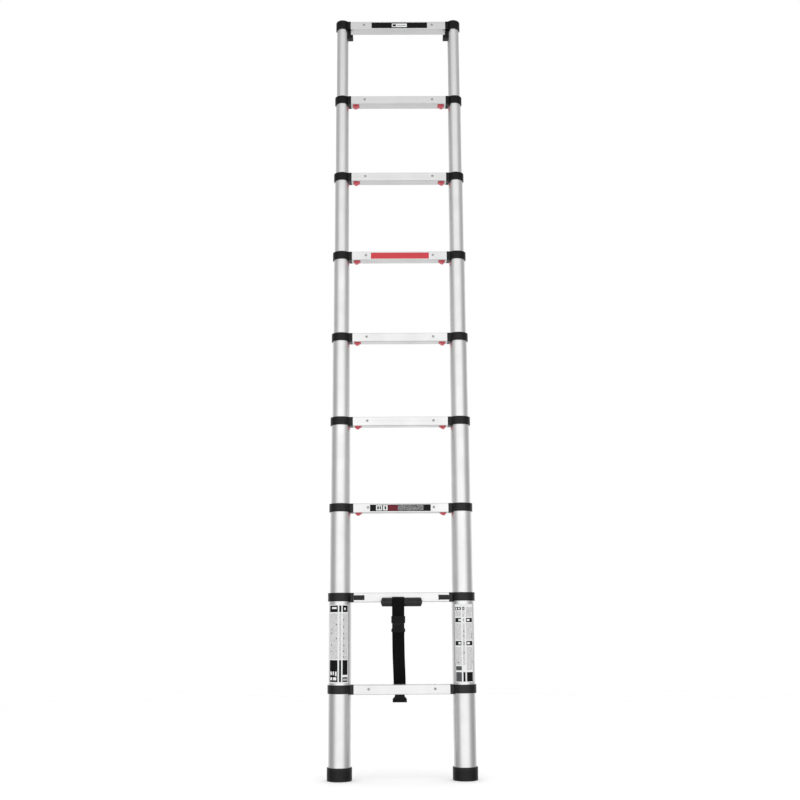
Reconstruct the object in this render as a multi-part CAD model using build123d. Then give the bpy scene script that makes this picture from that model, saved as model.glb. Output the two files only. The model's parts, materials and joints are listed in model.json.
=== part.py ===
from build123d import *
import math
import os

# Telescoping ladder, nine rungs, drawn fully extended. Millimetres.
# +X runs across the rungs, +Y to the rear and +Z up the stiles. The origin is on the floor,
# midway between the two stile axes. Rung 1 is the highest. Rungs 8 and 9 belong to the base
# and each of rungs 1 to 7 to a sliding section. Left is -X and right is +X.

# ---- Driving dimensions ----
RUNGS = 9
BASE_RUNG = 8                 # the rung at the top of the base, where section 7 slides in
RUNG_PITCH = 290.0            # from rung to rung when the ladder is extended
LOWEST_RUNG_Z = 280.0         # middle of rung 9 above the floor
STILE_X = 199.0               # each stile axis from the middle of the ladder

TOP_TUBE_R = 20.25            # outer radius of the thinnest tube
TUBE_STEP_R = 2.25            # each tube down is this much larger in radius
TUBE_WALL = 1.4
TUBE_OVERLAP = 75.0           # tube left inside the next one below its rung

RUNG_DEPTH = 41.0             # along Y
RUNG_HEIGHT = 30.5
RUNG_SINK = 1.5               # middle of a rung's section below the middle of its collar
RUNG_WALL = 1.8
RUNG_CORNER = 2.5
TREAD_GROOVES = 7             # anti-slip grooves along the top
TREAD_PITCH = 5.0
TREAD_GROOVE = (2.0, 0.8)     # width and depth
LIP_GROOVE = (0.8, 0.5)       # shadow line along both edges of the front and rear faces
LIP_IN = 2.2                  # that line's distance from the edge

RING_WALL = 3.8               # collar ring around its tube
RING_HALF = 13.5
RING_ROUND = 1.0
RING_GROOVES = (-4.5, 4.5)
RING_GROOVE = (1.2, 0.7)      # height and depth
LIP_THICK = 3.0               # top of the collar, which covers the tube's end
LIP_CLEAR = 0.4               # between that lip and the tube that slides in it
FLANGE_OUT = 8.8              # flange face beyond its tube's surface, towards the rung
FLANGE_THICK = 12.0
FLANGE_DEPTH = 42.4
FLANGE_TOP = 13.7
FLANGE_BOTTOM = -16.4
FLANGE_ROUND = 1.5
GLUE = 0.05                   # bonded joint
SPIGOT_GAP = 0.1              # spigot inside the rung
SPIGOT_LENGTH = 56.0
SPIGOT_LEAD = 1.5

RIVET_IN = 48.0               # rivet axis from the rung's end
RIVET_R = 2.4
RIVET_UP = 0.5                # above the middle of the collar
RIVET_DEEP = 12.0

PIN_R = 4.0
PIN_CLEAR = 0.3
PIN_LENGTH = 44.0
PIN_SHORT = 0.3               # pin's nose from the surface of the tube that it locks
PIN_BORE_DEEP = 45.0          # pin and spring bore, from the flange's face
PIN_NOSE = 0.8

TRIGGER_IN = 17.1             # trigger's middle from the rung's end
TRIGGER_WIDTH = 23.0
TRIGGER_FRONT = -12.5         # Y of its front and rear faces
TRIGGER_REAR = 7.5
TRIGGER_DROP = 8.0            # how far it stands below the rung
TRIGGER_TRAVEL = 7.0
TRIGGER_TIP = 3.0             # half width of the V's tip
TRIGGER_TIP_OUT = 2.0         # the tip's distance from the trigger's middle, towards the collar
TRIGGER_TIP_ROUND = 2.0
TRIGGER_SIDE = 1.0            # straight side below the rung, above the V
TRIGGER_EAR = 1.75            # half the extra width of the ledge that keeps it in the rung
LEDGE_THICK = 3.2
TRIGGER_GAP = 0.5
POCKET_TOP = 4.2              # above the middle of the rung

BUTTON_LENGTH = 34.0
BUTTON_HEIGHT = 15.5
BUTTON_DROP = 2.0             # its middle below the pin's axis
BUTTON_BEVEL = 3.0            # along the bar's two front edges
BUTTON_END = 6.0              # length of the lip at its free end
BUTTON_THICK = 5.0
BUTTON_STEP = 1.0             # how far that lip stands in front of the bar
BUTTON_ROUND = 1.0
BUTTON_TRAVEL = 8.0
BUTTON_GAP = 0.3
GRIP_RIBS = 5
GRIP_PITCH = 3.5
GRIP_FROM = 8.0               # first rib from the end beside the collar
GRIP_RIB = 1.6                # width of each rib in the panel
PANEL_IN = (3.0, 3.5)         # panel's margin at the ends, and above and below
PANEL_DEEP = 1.5
STEM = (12.0, 8.0)            # length and height of the part that reaches the pin
STEM_IN = 15.0                # its middle from the rung's end

CAP_TOP = 19.0
CAP_ROUND = 5.0
LUG_DROP = 46.0               # lower end of the anti-pinch lug, below the middle of cap 1
LUG_TOE = (17.0, 12.0)        # its toe's length from the tube, and its height
LUG_HALF_DEPTH = 12.5
LUG_ROUND = 1.5

FOOT_R = 40.0
FOOT_HEIGHT = 41.0
FOOT_SOLE = 6.0
FOOT_ROUND = 3.0

BUSH_CLEAR = 0.5              # guide bush beyond its own tube, inside the next tube down
BUSH_FLANGE = 4.0
BUSH_PLUG = 10.0
BUSH_AIR_R = 6.0

HANDLE_LENGTH = 133.0
HANDLE_R = 14.2
HANDLE_END = (4.0, 9.0)       # length of its tapered ends, and what they lose in radius
HANDLE_Y = -37.3              # in front of rung 8, with the webbing between them
HANDLE_DROP = 17.0            # below the middle of rung 8

# Middle of the webbing: up from the socket, over the handle, down through the gap between
# rungs 8 and 9, drifting to the right, and down behind rung 9 to the plug.
WEBBING_ROUTE = [
    (-11.0, -52.8, 504.5),
    (-11.0, -52.8, 559.4),
    (-11.0, -43.7, 568.5),
    (-11.0, -30.9, 568.5),
    (-11.0, -21.8, 559.4),
    (-11.0, -21.8, 543.0),
    (-10.6, 6.0, 404.0),
    (-7.0, 27.0, 304.0),
    (-7.0, 27.0, 275.0),
]
WEB_WIDTH = 39.5
WEB_THICK = 2.0
WEB_IN_SOCKET = 4.0           # webbing inside the socket and inside the plug
WEB_IN_PLUG = 2.0

SOCKET_SIZE = (44.5, 12.0, 51.0)
SOCKET_ROUND = 3.0
SOCKET_MOUTH = (38.5, 7.0, 28.0)    # width, thickness and depth of the space for the plug
SOCKET_WINDOW = (10.0, 24.0)        # side windows above its lower end
SOCKET_SLOT = 3.0
PLUG_THICK = 10.0
PLUG_HEIGHT = 40.5
PLUG_BAR = 9.0                # height of the bar that holds the webbing
PLUG_NECK = 21.0              # the neck below that bar widens from this far below the top
PLUG_SHOULDER = 29.5          # to this far below it
PLUG_HALVES = (23.0, 15.8, 22.8)    # half widths of the bar, the neck and the base
PLUG_ROUND = 2.0
PLUG_SLOT = 2.6

# ---- Worked out from those ----
TREAD_FROM = -TREAD_PITCH * (TREAD_GROOVES - 1) / 2
SPIGOT_HALF_Y = RUNG_DEPTH / 2 - RUNG_WALL - SPIGOT_GAP
SPIGOT_HALF_Z = RUNG_HEIGHT / 2 - RUNG_WALL - SPIGOT_GAP
PIN_BORE_R = PIN_R + PIN_CLEAR
POCKET_HALF = TRIGGER_WIDTH / 2 + TRIGGER_EAR + TRIGGER_GAP
SLOT_HALF = TRIGGER_WIDTH / 2 + TRIGGER_GAP
HANDLE_Z = LOWEST_RUNG_Z + RUNG_PITCH - HANDLE_DROP
SIDES = ("right", "left")


def tube_r(k):
    """Outer radius of tube k. Rung 9's collar is on the same tube as rung 8's."""
    return TOP_TUBE_R + TUBE_STEP_R * (min(k, BASE_RUNG) - 1)


def rung_z(k):
    """Middle of collar k and of its pins."""
    return LOWEST_RUNG_Z + (RUNGS - k) * RUNG_PITCH


def rung_middle(k):
    """Middle of rung k's own section, a little below its collar's middle."""
    return rung_z(k) - RUNG_SINK


def underside(k):
    return rung_middle(k) - RUNG_HEIGHT / 2


def rung_end(k):
    """X of rung k's right end, which is its collar's flange face."""
    return STILE_X - tube_r(k) - FLANGE_OUT


# ---- Helpers ----
def block(x, y, z):
    """A box from three (low, high) pairs."""
    middle = [(low + high) / 2 for low, high in (x, y, z)]
    return Pos(*middle) * Box(*[high - low for low, high in (x, y, z)])


def upright(radius, low, high):
    """A round bar on the right stile's axis."""
    return Pos(STILE_X, 0, (low + high) / 2) * Cylinder(radius, high - low)


def bar_along_x(radius, low, high, z):
    return Pos((low + high) / 2, 0, z) * Rot(0, 90, 0) * Cylinder(radius, high - low)


def bar_along_y(radius, x, y, z):
    """A round bar at x, z between a (low, high) pair of y."""
    return Pos(x, (y[0] + y[1]) / 2, z) * Rot(90, 0, 0) * Cylinder(radius, y[1] - y[0])


def pair(solid):
    """A right-hand piece and its left-hand twin."""
    return [solid, mirror(solid, Plane.YZ)]


def save(name, *pieces):
    """One node's STEP file, with each piece as a separate solid."""
    solids = [s for piece in pieces for s in piece.solids()]
    export_step(Compound(children=solids), f"parts/{name}.step")


# ---- Stile tubes and what is in and on them ----
def stile_tube(k):
    """Tube k, with the hole of its own rung's pin and the hole that locks it in the next."""
    low = FOOT_SOLE if k == BASE_RUNG else rung_z(k + 1) - TUBE_OVERLAP
    high = rung_z(k) + RING_HALF - LIP_THICK
    tube = upright(tube_r(k), low, high) - upright(tube_r(k) - TUBE_WALL, low, high)
    pinned = [n for n in (k, k + 1) if 2 <= n <= BASE_RUNG]
    for n in pinned:
        tube -= bar_along_x(PIN_BORE_R, rung_end(n), STILE_X, rung_z(n))
    return tube


def guide_bush(k):
    """Plug in the lower end of tube k, which slides in the tube below and lets air through."""
    end = rung_z(k + 1) - TUBE_OVERLAP
    flange = upright(tube_r(k) + BUSH_CLEAR, end - BUSH_FLANGE, end)
    plug = upright(tube_r(k) - TUBE_WALL - GLUE, end, end + BUSH_PLUG)
    return flange + plug - upright(BUSH_AIR_R, end - BUSH_FLANGE, end + BUSH_PLUG)


def foot():
    cup = upright(FOOT_R, 0, FOOT_HEIGHT)
    cup = fillet(cup.edges().sort_by(Axis.Z)[0], FOOT_ROUND)
    cup = chamfer(cup.edges().sort_by(Axis.Z)[-1], 1)
    return cup - upright(tube_r(BASE_RUNG) + GLUE, FOOT_SOLE - GLUE, FOOT_HEIGHT)


def ring(k, z):
    """Grooved ring of a collar, still solid."""
    radius = tube_r(k) + RING_WALL
    body = upright(radius, z - RING_HALF, z + RING_HALF)
    body = fillet(body.edges().filter_by(GeomType.CIRCLE), RING_ROUND)
    height, deep = RING_GROOVE
    for up in RING_GROOVES:
        low, high = z + up - height / 2, z + up + height / 2
        body -= upright(radius + 1, low, high) - upright(radius - deep, low, high)
    return body


def flange(k, z):
    """Plate between the ring and the rung's end."""
    face = rung_end(k)
    plate = block(
        (face, face + FLANGE_THICK),
        (-FLANGE_DEPTH / 2, FLANGE_DEPTH / 2),
        (z + FLANGE_BOTTOM, z + FLANGE_TOP),
    )
    return fillet(plate.edges().filter_by(Axis.X), FLANGE_ROUND)


def spigot(k):
    """Block that plugs into the rung, with a lead-in at its end."""
    face = rung_end(k)
    plug = block(
        (face - SPIGOT_LENGTH, face + 1),
        (-SPIGOT_HALF_Y, SPIGOT_HALF_Y),
        (rung_middle(k) - SPIGOT_HALF_Z, rung_middle(k) + SPIGOT_HALF_Z),
    )
    return chamfer(plug.faces().sort_by(Axis.X)[0].edges(), SPIGOT_LEAD)


def rivet_hole(k, z):
    x = rung_end(k) - RIVET_IN
    front = -RUNG_DEPTH / 2
    return bar_along_y(RIVET_R, x, (front - 1, front + RIVET_DEEP), z + RIVET_UP)


def trigger_pocket(k, z):
    """Space for the trigger's ledge and cheeks, open below."""
    x = rung_end(k) - TRIGGER_IN
    return block(
        (x - POCKET_HALF, x + POCKET_HALF),
        (TRIGGER_FRONT - TRIGGER_GAP, TRIGGER_REAR + TRIGGER_GAP),
        (underside(k), z + POCKET_TOP),
    )


def stem_slot(k, z):
    """Slot in the front of rung 8 and its spigot, for a button's stem and its travel."""
    near = rung_end(k) - STEM_IN + STEM[0] / 2 + TRIGGER_GAP
    far = rung_end(k) - STEM_IN - STEM[0] / 2 - BUTTON_TRAVEL - TRIGGER_GAP
    half = STEM[1] / 2 + BUTTON_GAP
    return block((far, near), (-RUNG_DEPTH, 0), (z - half, z + half))


def collar(k):
    """Collar k: ring, lip, flange and spigot in one moulding, bored for the pin and tube."""
    z = rung_z(k)
    body = ring(k, z) + flange(k, z) + spigot(k)
    tube_top = z + RING_HALF - LIP_THICK + GLUE
    body -= upright(tube_r(k) + GLUE, z - RUNG_HEIGHT, tube_top)
    body -= upright(tube_r(k - 1) + LIP_CLEAR, tube_top, z + RUNG_HEIGHT)
    body -= bar_along_x(PIN_BORE_R, rung_end(k) - PIN_BORE_DEEP, STILE_X, z)
    if k == BASE_RUNG:
        return body - stem_slot(k, z)
    return body - trigger_pocket(k, z) - rivet_hole(k, z)


def lower_collar():
    """Collar of rung 9, clamped round the middle of the base tube."""
    z = rung_z(RUNGS)
    body = ring(RUNGS, z) + flange(RUNGS, z) + spigot(RUNGS)
    body -= upright(tube_r(RUNGS) + GLUE, z - RUNG_HEIGHT, z + RUNG_HEIGHT)
    return body - rivet_hole(RUNGS, z)


def top_cap():
    """Closed cap on tube 1, with the lug that keeps fingers from between rungs 1 and 2."""
    z = rung_z(1)
    cap = upright(tube_r(1) + RING_WALL, z - RING_HALF, z + CAP_TOP)
    cap = fillet(cap.edges().sort_by(Axis.Z)[-1], CAP_ROUND)
    inner = STILE_X - tube_r(1)
    depth = (-LUG_HALF_DEPTH, LUG_HALF_DEPTH)
    toe_long, toe_high = LUG_TOE
    low = z - LUG_DROP
    lug = block((rung_end(1), inner + FLANGE_THICK / 2), depth, (low, z))
    lug += block((inner - toe_long, inner), depth, (low, low + toe_high))
    lug = fillet(lug.edges().filter_by(Axis.Y).group_by(Axis.X)[0], LUG_ROUND)
    body = cap + flange(1, z) + spigot(1) + lug
    body -= upright(tube_r(1) + GLUE, z - 2 * LUG_DROP, z + RING_HALF - LIP_THICK + GLUE)
    return body - rivet_hole(1, z)


# ---- Rungs ----
def rung_profile():
    """Hollow section with a grooved tread, in the YZ plane."""
    wall = 2 * RUNG_WALL
    shape = RectangleRounded(RUNG_DEPTH, RUNG_HEIGHT, RUNG_CORNER)
    shape -= Rectangle(RUNG_DEPTH - wall, RUNG_HEIGHT - wall)
    width, deep = TREAD_GROOVE
    for n in range(TREAD_GROOVES):
        shape -= Pos(TREAD_FROM + n * TREAD_PITCH, RUNG_HEIGHT / 2) * Rectangle(width, 2 * deep)
    width, deep = LIP_GROOVE
    up = RUNG_HEIGHT / 2 - LIP_IN
    for side, z in ((-1, up), (-1, -up), (1, up), (1, -up)):
        shape -= Pos(side * RUNG_DEPTH / 2, z) * Rectangle(2 * deep, width)
    return Plane.YZ * shape


def rung(k):
    """Rung k, cut for its rivets and its triggers or buttons."""
    end = rung_end(k)
    body = extrude(Pos(-end, 0, rung_middle(k)) * rung_profile(), 2 * end)
    for cut in rung_cuts(k, rung_z(k)):
        body -= cut
        body -= mirror(cut, Plane.YZ)
    return body


def rung_cuts(k, z):
    """The right-hand cuts of rung k."""
    if k == BASE_RUNG:
        return [stem_slot(k, z)]
    cuts = [rivet_hole(k, z)]
    if 1 < k < BASE_RUNG:
        x = rung_end(k) - TRIGGER_IN
        cuts.append(
            block(
                (x - SLOT_HALF, x + SLOT_HALF),
                (TRIGGER_FRONT - TRIGGER_GAP, TRIGGER_REAR + TRIGGER_GAP),
                (z - RUNG_HEIGHT, underside(k) + 2 * RUNG_WALL),
            )
        )
    return cuts


# ---- Locks ----
def lock_pin(k):
    """Right-hand pin at rung k, with its nose in the wall of tube k."""
    nose = STILE_X - tube_r(k - 1) - PIN_SHORT
    pin = bar_along_x(PIN_R, nose - PIN_LENGTH, nose, rung_z(k))
    return chamfer(pin.edges().sort_by(Axis.X)[-1], PIN_NOSE)


def trigger(k):
    """Right-hand release trigger of rung k: a V below, a ledge and two cheeks round the pin."""
    x, z = rung_end(k) - TRIGGER_IN, rung_z(k)
    under = underside(k)
    half = TRIGGER_WIDTH / 2
    ledge_low = under + RUNG_WALL + TRIGGER_GAP
    ledge = (ledge_low, ledge_low + LEDGE_THICK)
    depth = TRIGGER_REAR - TRIGGER_FRONT
    tip = x + TRIGGER_TIP_OUT
    outline = Polyline(
        (x - half, ledge[1]),
        (x - half, under - TRIGGER_SIDE),
        (tip - TRIGGER_TIP, under - TRIGGER_DROP),
        (tip + TRIGGER_TIP, under - TRIGGER_DROP),
        (x + half, under - TRIGGER_SIDE),
        (x + half, ledge[1]),
        close=True,
    )
    side = Plane.XZ.offset(-TRIGGER_REAR) * make_face(outline)
    body = extrude(side, depth)
    body = fillet(body.edges().filter_by(Axis.Y).sort_by(Axis.Z)[:2], TRIGGER_TIP_ROUND)
    body += block(
        (x - half - TRIGGER_EAR, x + half + TRIGGER_EAR), (TRIGGER_FRONT, TRIGGER_REAR), ledge
    )
    channel = z - PIN_R - TRIGGER_TRAVEL - TRIGGER_GAP
    return body - block(
        (x - SLOT_HALF - TRIGGER_EAR, x + SLOT_HALF + TRIGGER_EAR),
        (-PIN_R - TRIGGER_GAP, PIN_R + TRIGGER_GAP),
        (channel, ledge[1]),
    )


def slide_button():
    """Right-hand thumb button on rung 8: a bevelled bar with a ribbed panel let into its
    front, a lip at its free end, and a stem to the pin."""
    pin_z = rung_z(BASE_RUNG)
    z, half = pin_z - BUTTON_DROP, BUTTON_HEIGHT / 2
    near = rung_end(BASE_RUNG) - BUTTON_GAP
    far = near - BUTTON_LENGTH
    back = -RUNG_DEPTH / 2 - BUTTON_GAP
    front = back - BUTTON_THICK
    bar_front = front + BUTTON_STEP
    bar = block((far, near), (bar_front, back), (z - half, z + half))
    bar = chamfer(bar.edges().filter_by(Axis.X).group_by(Axis.Y)[0], BUTTON_BEVEL)
    end_in, edge_in = PANEL_IN
    panel = (far + BUTTON_END + end_in, near - end_in)
    bar -= block(panel, (front, bar_front + PANEL_DEEP), (z - half + edge_in, z + half - edge_in))
    for n in range(GRIP_RIBS):
        x = near - GRIP_FROM - GRIP_PITCH * n
        across = (x - GRIP_RIB / 2, x + GRIP_RIB / 2)
        bar += block(across, (bar_front, back), (z - half + edge_in, z + half - edge_in))
    end = block((far, far + BUTTON_END), (front, back), (z - half, z + half))
    end = fillet(end.edges().filter_by(Axis.Z).group_by(Axis.Y)[0], BUTTON_ROUND)
    stem_x = rung_end(BASE_RUNG) - STEM_IN
    stem = block(
        (stem_x - STEM[0] / 2, stem_x + STEM[0] / 2),
        (back - 1, -PIN_R - BUTTON_GAP),
        (pin_z - STEM[1] / 2, pin_z + STEM[1] / 2),
    )
    return bar + end + stem


# ---- Carry handle, strap and buckle ----
def carry_handle():
    """Round bar with tapered ends across the front of rung 8, held in the webbing's loop."""
    long, lost = HANDLE_END
    straight = HANDLE_LENGTH - 2 * long
    bar = Cylinder(HANDLE_R, straight)
    for turn in (0, 180):
        bar += Rot(turn, 0, 0) * Pos(0, 0, (straight + long) / 2) * Cone(HANDLE_R, HANDLE_R - lost, long)
    return Pos(0, HANDLE_Y, HANDLE_Z) * Rot(0, 90, 0) * bar


def corner_radii(points):
    """Each corner's radius: 0.45 of its shorter run over the tangent of half its turn."""
    vectors = [Vector(*p) for p in points]
    runs = [b - a for a, b in zip(vectors, vectors[1:])]
    radii = []
    for one, two in zip(runs, runs[1:]):
        turn = math.radians(one.get_angle(two))
        radii.append(0.45 * min(one.length, two.length) / math.tan(turn / 2))
    return radii


def strap_webbing():
    """Flat webbing along its route, with its width along X."""
    radii = corner_radii(WEBBING_ROUTE)
    print("webbing radii", [round(r, 1) for r in radii])
    path = FilletPolyline(*WEBBING_ROUTE, radius=radii)
    start = Plane(origin=WEBBING_ROUTE[0], x_dir=(1, 0, 0), z_dir=(0, 0, 1))
    strap = sweep(start * Rectangle(WEB_WIDTH, WEB_THICK), path)
    print("webbing length", round(path.length, 1))
    share = strap.volume / (path.length * WEB_WIDTH * WEB_THICK)
    print("volume over section times length", round(share, 4))
    return strap


def buckle_socket():
    """Female half of the side-release buckle, which hangs at the webbing's short end."""
    width, thick, height = SOCKET_SIZE
    web_x, y, web_end = WEBBING_ROUTE[0]
    top = web_end + WEB_IN_SOCKET

    def part(half_x, half_y, down):
        """A box about the webbing, from two distances below the socket's top."""
        z = (top - down[1], top - down[0])
        return block((web_x - half_x, web_x + half_x), (y - half_y, y + half_y), z)

    body = part(width / 2, thick / 2, (0, height))
    body = fillet(body.edges().filter_by(Axis.Z), SOCKET_ROUND)
    mouth_width, mouth_thick, mouth_deep = SOCKET_MOUTH
    body -= part(mouth_width / 2, mouth_thick / 2, (height - mouth_deep, height))
    low, high = SOCKET_WINDOW
    body -= part(width, mouth_thick / 2, (height - high, height - low))
    return body - part(WEB_WIDTH / 2 + SPIGOT_GAP, SOCKET_SLOT / 2, (0, WEB_IN_SOCKET + GLUE))


def buckle_plug():
    """Male half of the buckle, which hangs behind rung 9 at the webbing's long end."""
    bar, neck, base = PLUG_HALVES
    x, y, web_end = WEBBING_ROUTE[-1]
    top = web_end + WEB_IN_PLUG
    left = [
        (x - bar, top),
        (x - bar, top - PLUG_BAR),
        (x - neck, top - PLUG_BAR),
        (x - neck, top - PLUG_NECK),
        (x - base, top - PLUG_SHOULDER),
        (x - base, top - PLUG_HEIGHT),
    ]
    right = [(2 * x - across, z) for across, z in reversed(left)]
    side = Plane.XZ.offset(-y - PLUG_THICK / 2) * make_face(Polyline(*left, *right, close=True))
    body = extrude(side, PLUG_THICK)
    body = fillet(body.edges().filter_by(Axis.Y).group_by(Axis.Z)[0], PLUG_ROUND)
    half = WEB_WIDTH / 2 + SPIGOT_GAP
    slot = (y - PLUG_SLOT / 2, y + PLUG_SLOT / 2)
    return body - block((x - half, x + half), slot, (top - WEB_IN_PLUG - GLUE, top))


# ---- Every node ----
os.makedirs("parts", exist_ok=True)

for k in range(1, BASE_RUNG + 1):
    save(f"stile_tubes_{k}", *pair(stile_tube(k)))
for k in range(1, RUNGS + 1):
    save(f"rung_{k}", rung(k))
for k in range(2, BASE_RUNG + 1):
    save(f"collars_{k}", *pair(collar(k)))
for k in range(1, BASE_RUNG):
    save(f"guide_bushes_{k}", *pair(guide_bush(k)))
for k in range(2, BASE_RUNG):
    save(f"triggers_{k}", *pair(trigger(k)))
for k in range(2, BASE_RUNG + 1):
    for side, pin in zip(SIDES, pair(lock_pin(k))):
        save(f"lock_pin_{k}_{side}", pin)
for side, button in zip(SIDES, pair(slide_button())):
    save(f"slide_button_{side}", button)
save("top_caps", *pair(top_cap()))
save("lower_collars", *pair(lower_collar()))
save("feet", *pair(foot()))
save("carry_handle", carry_handle())
save("strap_webbing", strap_webbing())
save("buckle_socket", buckle_socket())
save("buckle_plug", buckle_plug())
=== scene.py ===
import json
import math

import bpy
from mathutils import Matrix, Vector


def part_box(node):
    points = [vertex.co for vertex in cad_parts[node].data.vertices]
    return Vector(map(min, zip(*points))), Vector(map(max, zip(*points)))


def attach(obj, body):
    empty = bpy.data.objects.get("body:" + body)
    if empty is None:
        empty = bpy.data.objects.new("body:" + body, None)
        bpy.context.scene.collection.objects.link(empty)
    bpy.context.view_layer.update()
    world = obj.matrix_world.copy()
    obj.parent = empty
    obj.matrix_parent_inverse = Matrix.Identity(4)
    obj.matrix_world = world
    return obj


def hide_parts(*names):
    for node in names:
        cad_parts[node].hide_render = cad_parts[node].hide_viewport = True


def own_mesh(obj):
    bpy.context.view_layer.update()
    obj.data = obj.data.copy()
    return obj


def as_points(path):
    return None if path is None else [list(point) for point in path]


# Looks of the telescoping ladder, in metres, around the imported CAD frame.

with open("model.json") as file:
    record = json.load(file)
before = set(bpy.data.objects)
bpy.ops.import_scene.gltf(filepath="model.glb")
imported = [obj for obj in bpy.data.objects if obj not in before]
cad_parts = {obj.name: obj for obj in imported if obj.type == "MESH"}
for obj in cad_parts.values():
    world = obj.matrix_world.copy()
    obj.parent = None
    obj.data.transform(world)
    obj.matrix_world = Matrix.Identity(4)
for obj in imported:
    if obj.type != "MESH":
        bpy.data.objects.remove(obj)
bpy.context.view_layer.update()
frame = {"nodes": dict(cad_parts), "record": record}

MM = 0.001
ALONG_X = Vector((1, 0, 0))
SIDES = {"left": -1, "right": 1}
BASE_RUNG = 8
LOWEST_RUNG = 9
SECTIONS = range(1, BASE_RUNG)

# ---- Sizes read from the frame ----
foot_places = [Vector(m["pos_m"]) for m in frame["record"]["mounts"]]
STILE_X = max(p.x for p in foot_places)


def centre(node):
    low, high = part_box(node)
    return (low + high) / 2


def tube_r(k):
    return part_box(f"stile_tubes_{k}")[1].x - STILE_X


def rung_z(k):
    return centre(f"rung_{k}").z


def rung_end(k):
    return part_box(f"rung_{k}")[1].x


def rung_front(k):
    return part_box(f"rung_{k}")[0].y


def body_of_rung(k):
    return "base" if k >= BASE_RUNG else f"section_{k}"


def round_at(radius, angle, height=0.0):
    return Vector((radius * math.cos(angle), radius * math.sin(angle), height))


# ---- Camera ----
CAMERA_AT = (-0.0304, -3.6806, 0.4725)
CAMERA_YAW, CAMERA_PITCH, CAMERA_ROLL = 0.464, 11.55, -0.35
LENS_MM, SENSOR_MM = 50.1, 36.0


def make_camera():
    yaw, pitch, roll = (math.radians(a) for a in (CAMERA_YAW, CAMERA_PITCH, CAMERA_ROLL))
    flat = Vector((math.sin(yaw), math.cos(yaw), 0))
    forward = flat * math.cos(pitch) + Vector((0, 0, math.sin(pitch)))
    level = Vector((math.cos(yaw), -math.sin(yaw), 0))
    upward = level.cross(forward)
    right = level * math.cos(roll) + upward * math.sin(roll)
    up = upward * math.cos(roll) - level * math.sin(roll)
    turn = Matrix((right, up, -forward)).transposed()
    data = bpy.data.cameras.new("camera")
    data.lens, data.sensor_width = LENS_MM, SENSOR_MM
    camera = bpy.data.objects.new("camera", data)
    camera.matrix_world = Matrix.Translation(CAMERA_AT) @ turn.to_4x4()
    bpy.context.collection.objects.link(camera)
    bpy.context.scene.camera = camera


# ---- Mesh building ----
class Shape:
    """Vertices, faces and each face's material number, gathered into one mesh."""

    def __init__(self):
        self.points, self.faces, self.marks, self.uvs = [], [], [], {}

    def add(self, points, faces, mark=0):
        first = len(self.points)
        self.points += [Vector(p) for p in points]
        self.faces += [[first + n for n in face] for face in faces]
        self.marks += [mark] * len(faces)

    def revolve(self, rings, place, turns):
        """A solid of revolution about Z from (radius, height) rings, both ends closed."""
        points = []
        for radius, height in rings:
            for n in range(turns):
                points.append(place @ round_at(radius, math.tau * n / turns, height))
        faces = [list(range(turns))[::-1]]
        for ring in range(len(rings) - 1):
            a, b = ring * turns, (ring + 1) * turns
            for n in range(turns):
                m = (n + 1) % turns
                faces.append([a + n, a + m, b + m, b + n])
        last = (len(rings) - 1) * turns
        faces.append(list(range(last, last + turns)))
        self.add(points, faces)

    def prism(self, outline, low, high):
        """A solid with an (x, z) outline, between two y."""
        count = len(outline)
        points = [(x, y, z) for y in (low, high) for x, z in outline]
        faces = [list(range(count)), list(range(count, 2 * count))[::-1]]
        for n in range(count):
            m = (n + 1) % count
            faces.append([n, n + count, m + count, m])
        self.add(points, faces)

    def box(self, low, high):
        (x0, y0, z0), (x1, y1, z1) = low, high
        self.prism([(x0, z0), (x1, z0), (x1, z1), (x0, z1)], y0, y1)

    def sweep(self, line, section):
        """A closed section of (across, out) points carried along a line, with across as near
        to X as it can be. uvs hold metres."""
        count, along, points = len(section), 0.0, []
        for n, at in enumerate(line):
            ahead = line[min(n + 1, len(line) - 1)] - line[max(n - 1, 0)]
            across = (ALONG_X - ahead * (ALONG_X.dot(ahead) / ahead.length_squared)).normalized()
            out = ahead.normalized().cross(across)
            points += [at + across * a + out * b for a, b in section]
        faces, first = [], len(self.faces)
        for n in range(len(line) - 1):
            step = (line[n + 1] - line[n]).length
            for c in range(count):
                d, a, b = (c + 1) % count, n * count, (n + 1) * count
                faces.append([a + c, a + d, b + d, b + c])
                u0, u1 = section[c][0], section[d][0]
                self.uvs[first + len(faces) - 1] = [
                    (u0, along), (u1, along), (u1, along + step), (u0, along + step)
                ]
            along += step
        last = (len(line) - 1) * count
        faces += [list(range(count))[::-1], list(range(last, last + count))]
        self.add(points, faces)

    def make(self, name, body, finishes, slot=None, edge=35.0, bevel=0.0):
        """The piece, riding on its body, with its edges sharper than edge degrees kept."""
        mesh = bpy.data.meshes.new(name)
        mesh.from_pydata(self.points, [], self.faces)
        for finish in finishes:
            mesh.materials.append(finish)
        mesh.polygons.foreach_set("material_index", self.marks)
        mesh.polygons.foreach_set("use_smooth", [True] * len(self.faces))
        if self.uvs:
            layer = mesh.uv_layers.new(name="surface")
            for face, corners in self.uvs.items():
                for loop, uv in zip(mesh.polygons[face].loop_indices, corners):
                    layer.data[loop].uv = uv
        mesh.update()
        mesh.set_sharp_from_angle(angle=math.radians(edge))
        piece = bpy.data.objects.new(name, mesh)
        bpy.context.collection.objects.link(piece)
        if bevel:
            round_edges(piece, bevel)
        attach(piece, body)
        return piece


BEVEL_SEGMENTS, BEVEL_FROM_DEG = 2, 30
SAME_POINT, SAME_PLANE_DEG = 0.002 * MM, 0.3


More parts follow.
